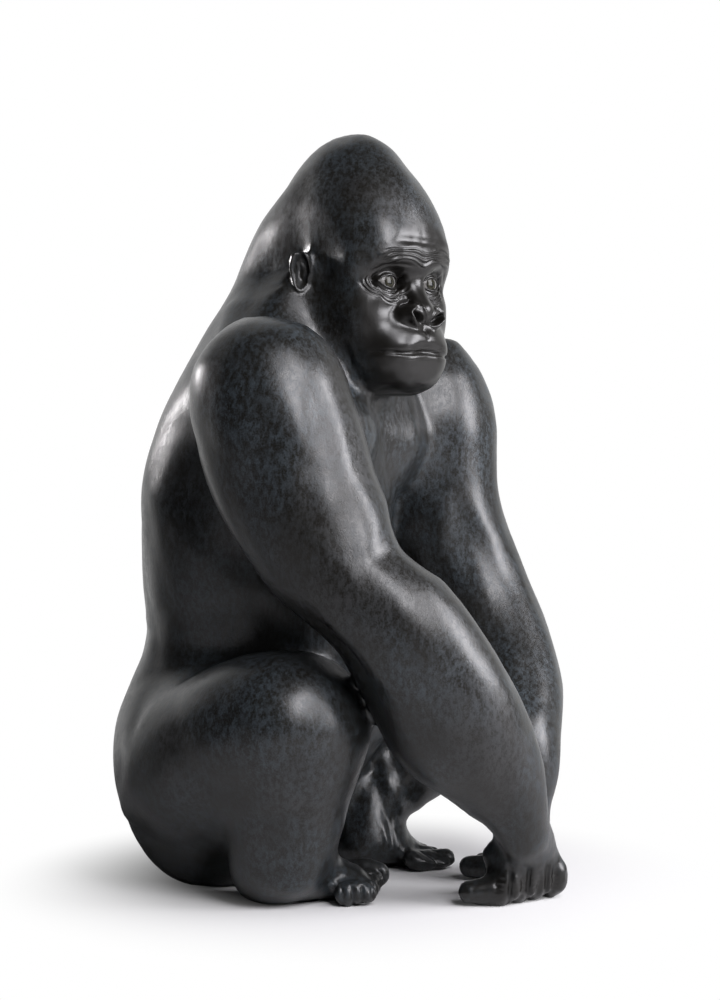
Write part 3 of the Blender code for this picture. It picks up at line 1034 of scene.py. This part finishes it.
@dataclass
class Figure:
    """The figure's skin and its two eyes.

    Attributes:
        voxel: Size of the even mesh, in metres.
        bulge: How far the skin rounds the solid's flat faces, from 0 to 1.
        even: Rounds that even the whole skin out.
        head: The head.
        limbs: Hands, feet and shin.
        hands: Middle and radius of the places that get a finer mesh, in millimetres.
        bare: Middle, radius and top height of the bare glossy places on the hands and the toes.
    """

    voxel: float = 0.0034
    bulge: float = 0.75
    even: int = 4
    head: Head = field(default_factory=Head)
    limbs: Limbs = Limbs()
    hands: tuple[tuple[tuple[float, float, float], float], ...] = (
        ((-23, -97, 10), 34), ((27, -80, 10), 34), ((-47, -20, 6), 30), ((36, -14, 6), 30),
    )
    bare: tuple[tuple[tuple[float, float, float], float, float], ...] = (
        ((-25, -98, 2), 34, 24), ((27, -82, 2), 34, 24), ((-52, -30, 1), 20, 9),
    )

    def fine(self, points: np.ndarray, level: int) -> np.ndarray:
        """Which points lie where the mesh is halved at a level, from 0 to 2."""
        side, ahead, up = self.head.local(points).T
        if level == 2:
            return (ahead > 25) & (np.abs(side) < 29) & (up > -27.5) & (up < 15.5)
        found = (ahead > 14) & (np.hypot(side / 34, (up + 18) / 45) < 1)
        found |= (np.abs(side) > 33) & (np.hypot(ahead - 3, up) < 17)
        for centre, radius in self.hands:
            apart = np.linalg.norm(points - np.array(centre), axis=1)
            found |= (apart < radius) & (points[:, 2] < 40 - 22 * level)
        return found

    def solid(self) -> bpy.types.Mesh:
        """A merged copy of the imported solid."""
        clay = bmesh.new()
        clay.from_mesh(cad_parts[NODE].data)
        bmesh.ops.remove_doubles(clay, verts=clay.verts, dist=1e-5)
        mesh = bpy.data.meshes.new("merged_solid")
        clay.to_mesh(mesh)
        clay.free()
        return mesh

    def refine(self, mesh: bpy.types.Mesh, level: int) -> None:
        """Halve the mesh where it is to be fine.

        Args:
            mesh: The mesh.
            level: 0 to 2.
        """
        clay = bmesh.new()
        clay.from_mesh(mesh)
        clay.verts.ensure_lookup_table()
        points = np.array([vertex.co for vertex in clay.verts]) / MM
        wanted = self.fine(points, level)
        faces = [face for face in clay.faces if all(wanted[vertex.index] for vertex in face.verts)]
        edges = list({edge for face in faces for edge in face.edges})
        bmesh.ops.subdivide_edges(clay, edges=edges, cuts=1, use_grid_fill=True)
        loose = [face for face in clay.faces if len(face.verts) > 4]
        bmesh.ops.triangulate(clay, faces=loose)
        clay.to_mesh(mesh)
        clay.free()

    def round_off(self, clay: Clay, solid: bpy.types.Mesh) -> None:
        """Move the skin onto the rounded surface of the faceted solid.

        Args:
            clay: The even skin.
            solid: The faceted solid.
        """
        solid.calc_loop_triangles()
        triangles = np.empty(len(solid.loop_triangles) * 3, np.int32)
        solid.loop_triangles.foreach_get("vertices", triangles)
        triangles = triangles.reshape(-1, 3)
        corners = Clay(solid)
        tree = BVHTree.FromPolygons([Vector(p) for p in corners.points], triangles.tolist())
        found = [tree.find_nearest(Vector(point)) for point in clay.points]
        near = np.array([hit[0] for hit in found])
        face = triangles[[hit[2] for hit in found]]
        a, b, c = (corners.points[face[:, n]] for n in range(3))
        across = np.cross(b - a, c - a)
        area = np.einsum("ij,ij->i", across, across) + 1e-12
        share_a = np.einsum("ij,ij->i", np.cross(b - near, c - near), across) / area
        share_b = np.einsum("ij,ij->i", np.cross(c - near, a - near), across) / area
        shares = np.clip(np.stack([share_a, share_b, 1 - share_a - share_b]), 0, 1)
        bent = np.zeros_like(near)
        for n in range(3):
            corner, normal = corners.points[face[:, n]], corners.normals[face[:, n]]
            off = np.einsum("ij,ij->i", near - corner, normal)[:, None]
            bent += shares[n][:, None] * (near - off * normal)
        clay.points = near + self.bulge * (bent - near)

    def build(self) -> list[bpy.types.Object]:
        """Build and dress the skin and the eyes.

        Returns:
            The pieces.
        """
        solid = self.solid()
        piece = bpy.data.objects.new("gorilla_skin", solid.copy())
        bpy.context.scene.collection.objects.link(piece)
        remesh = piece.modifiers.new("even_mesh", "REMESH")
        remesh.mode = "VOXEL"
        remesh.voxel_size = self.voxel
        bake(piece)
        for level in range(3):
            self.refine(piece.data, level)
        clay = Clay(piece.data)
        self.round_off(clay, solid)
        clay.relax(self.even, 0.5)
        clay.store()
        self.limbs.model(clay)
        self.head.model(clay)
        self.mark(clay)
        self.dress(piece)
        return [piece, *(self.eyeball(eye) for eye in self.head.eyes)]

    def mark(self, clay: Clay) -> None:
        """Keep on the mesh where folds run and where the skin is bare."""
        distance, strength = self.head.folds(clay)
        clay.mark("fold_distance", distance)
        clay.mark("fold_strength", strength)
        bare = self.head.face_mask(clay.points)
        for centre, radius, top in self.bare:
            apart = np.linalg.norm(clay.points - np.array(centre), axis=1)
            low = smooth_step(top, top * 0.4, clay.points[:, 2])
            bare = np.maximum(bare, smooth_step(radius, radius * 0.6, apart) * low)
        clay.mark("bare", bare)

    def dress(self, piece: bpy.types.Object) -> None:
        """Press the folds, keep the skin inside the solid's box and glaze it."""
        FoldTree().apply(piece, Glaze().material())
        clay = Clay(piece.data)
        low, high = (np.array(corner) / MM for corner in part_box(NODE))
        clay.points = np.clip(clay.points, low, high)
        clay.store()
        piece.data.shade_smooth()
        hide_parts(NODE)
        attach(piece, BODY)

    def eyeball(self, eye: Eye) -> bpy.types.Object:
        """One glazed eyeball.

        Args:
            eye: The eye's sizes.

        Returns:
            The piece.
        """
        ball = bmesh.new()
        bmesh.ops.create_icosphere(ball, subdivisions=5, radius=eye.radius * MM)
        mesh = bpy.data.meshes.new(f"eyeball_{eye.side.name.lower()}")
        ball.to_mesh(mesh)
        ball.free()
        clay = Clay(mesh)
        middle = self.head.place(*eye.centre)
        look = self.head.place(*eye.gaze) - self.head.place(0, 0, 0)
        look /= np.linalg.norm(look)
        front = clay.points @ look
        apart = np.linalg.norm(clay.points - front[:, None] * look, axis=1)
        clay.mark("from_pupil", np.where(front > 0, apart, 2 * eye.radius))
        clay.points += middle
        clay.store()
        mesh.shade_smooth()
        mesh.materials.append(EyeGlaze().material())
        piece = bpy.data.objects.new(mesh.name, mesh)
        bpy.context.scene.collection.objects.link(piece)
        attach(piece, BODY)
        return piece


@dataclass(frozen=True)
class Lamp:
    """A soft box that faces the figure.

    Attributes:
        name: Its name.
        spot: Its place as the camera sees it: right, towards the camera and height, in metres.
        size: Its width and height.
        power: Its power in watts.
        colour: Colour of its light.
        over: How far over the middle of the picture it is aimed, in metres.
        spread: Angle into which it shines, in degrees.
    """

    name: str
    spot: tuple[float, float, float]
    size: tuple[float, float]
    power: float
    colour: tuple[float, float, float] = (1.0, 1.0, 1.0)
    over: float = 0.0
    spread: float = 180.0


@dataclass
class Studio:
    """Camera, lamps, floor and white surroundings.

    Attributes:
        aim: Point in the middle of the picture, in metres.
        azimuth: Where the camera stands, in degrees round from the front.
        distance: Distance of the camera from that point.
        lens: Focal length for a sensor 36 mm wide.
        lamps: The soft boxes.
        fill: Level of the room's light, where white is 1.
        floor_size: Side of the floor, in metres.
        paper: Colour of the floor.
        bright: Distances from the figure between which the floor goes over to plain white.
    """

    aim: tuple[float, float, float] = (-0.02076, -0.00843, 0.190)
    azimuth: float = -66.0
    distance: float = 0.91
    lens: float = 66.17
    lamps: tuple[Lamp, ...] = (
        Lamp("key", (0.42, 0.76, 0.77), (0.40, 0.50), 11.5, (0.97, 0.96, 1.0)),
        Lamp("side", (0.94, 0.27, 0.55), (0.55, 0.60), 19.0, (0.97, 0.96, 1.0)),
        Lamp("strip", (-0.89, -0.47, 0.60), (0.30, 0.30), 1.7, (1.0, 0.97, 0.98), 0.38, 40.0),
    )
    fill: float = 0.045
    floor_size: float = 8.0
    paper: tuple[float, float, float, float] = (0.66, 0.655, 0.655, 1)
    bright: tuple[float, float] = (0.07, 0.19)

    @property
    def nearer(self) -> Vector:
        """Direction from the aim to the camera."""
        angle = math.radians(self.azimuth)
        return Vector((math.sin(angle), -math.cos(angle), 0))

    def spot(self, right: float, near: float, up: float) -> Vector:
        """A place as the camera sees it.

        Args:
            right: Distance to the right of the aim, in metres.
            near: Distance from the aim towards the camera.
            up: Height over the floor.

        Returns:
            The place in the part's frame.
        """
        angle = math.radians(self.azimuth)
        rightward = Vector((math.cos(angle), math.sin(angle), 0))
        return Vector((self.aim[0], self.aim[1], up)) + right * rightward + near * self.nearer

    def camera(self) -> None:
        """Set the camera at the photograph's angle."""
        data = bpy.data.cameras.new("camera")
        data.lens = self.lens
        data.sensor_width = 36
        camera = bpy.data.objects.new("camera", data)
        camera.location = self.spot(0, self.distance, self.aim[2])
        camera.rotation_euler = self.nearer.to_track_quat("Z", "Y").to_euler()
        bpy.context.scene.collection.objects.link(camera)
        bpy.context.scene.camera = camera

    def hang(self, lamp: Lamp) -> None:
        """Hang one soft box."""
        data = bpy.data.lights.new(lamp.name, "AREA")
        data.shape = "RECTANGLE"
        data.size, data.size_y = lamp.size
        data.energy = lamp.power
        data.color = lamp.colour
        data.spread = math.radians(lamp.spread)
        made = bpy.data.objects.new(lamp.name, data)
        made.location = self.spot(*lamp.spot)
        goal = Vector(self.aim) + Vector((0, 0, lamp.over))
        made.rotation_euler = (goal - made.location).to_track_quat("-Z", "Y").to_euler()
        bpy.context.scene.collection.objects.link(made)

    def seen(self, shading: Shading, way: Value, low: float, high: float) -> Value:
        """How far a ray meets plain white.

        The camera meets it everywhere, reflections and glass on the backdrop's side of the room.

        Args:
            shading: The floor's or the room's nodes.
            way: Direction or place that the ray meets.
            low: Reach towards the backdrop at which the white starts.
            high: Reach at which it is full.

        Returns:
            0 to 1, and 0 for the room's own light.
        """
        path = shading.node("ShaderNodeLightPath", {}, {})
        sockets = {0: way, 1: tuple(-self.nearer)}
        reach = shading.node("ShaderNodeVectorMath", {"operation": "DOT_PRODUCT"}, sockets)["Value"]
        mirrored_ray = path["Is Glossy Ray"].larger(path["Is Transmission Ray"])
        return path["Is Camera Ray"].larger(mirrored_ray * reach.ease(low, high))

    def floor(self) -> None:
        """Lay a plain pale floor that keeps the shadow and goes over to white far out."""
        bpy.ops.mesh.primitive_plane_add(size=self.floor_size, location=(0, 0, -0.0002))
        floor = bpy.context.object
        floor.name = "floor"
        shading = Shading(bpy.data.materials.new("pale_floor"), "Principled BSDF")
        shading.finish("Base Color", self.paper)
        shading.finish("Roughness", 0.7)
        shading.finish("Specular IOR Level", 0.1)
        away = shading.node("ShaderNodeVectorMath", {"operation": "LENGTH"}, {0: shading.place()})["Value"]
        white = shading.node("ShaderNodeEmission", {}, {"Color": (1, 1, 1, 1)})["Emission"]
        share = self.seen(shading, shading.place(), 0.1, 0.8) * away.ease(*self.bright)
        paper = Value(shading, shading.shader.outputs["BSDF"])
        mixed = shading.node("ShaderNodeMixShader", {}, {0: share, 1: paper, 2: white})["Shader"]
        shading.connect(shading.tree.nodes["Material Output"].inputs["Surface"], mixed)
        floor.data.materials.append(shading.owner)

    def surroundings(self) -> None:
        """White backdrop to the camera and in reflections, and a dim room as a light."""
        shading = Shading(bpy.data.worlds.new("white_room"), "Background")
        way = shading.node("ShaderNodeTexCoord", {}, {})["Generated"]
        seen = self.seen(shading, way, 0.2, 0.8)
        shading.finish("Color", (1, 1, 1, 1))
        shading.finish("Strength", seen * (1 - self.fill) + self.fill)
        bpy.context.scene.world = shading.owner

    def build(self) -> None:
        """Set up the studio."""
        self.camera()
        self.floor()
        self.surroundings()
        for lamp in self.lamps:
            self.hang(lamp)
        bpy.context.scene.view_settings.view_transform = "Standard"


def main() -> None:
    """Build the figure and the studio, and log each piece's triangle count."""
    logging.basicConfig(level=logging.INFO, format="%(message)s")
    for piece in Figure().build():
        count = sum(len(face.vertices) - 2 for face in piece.data.polygons)
        log.info("%s: %d triangles", piece.name, count)
    Studio().build()


if __name__ == "__main__":
    main()
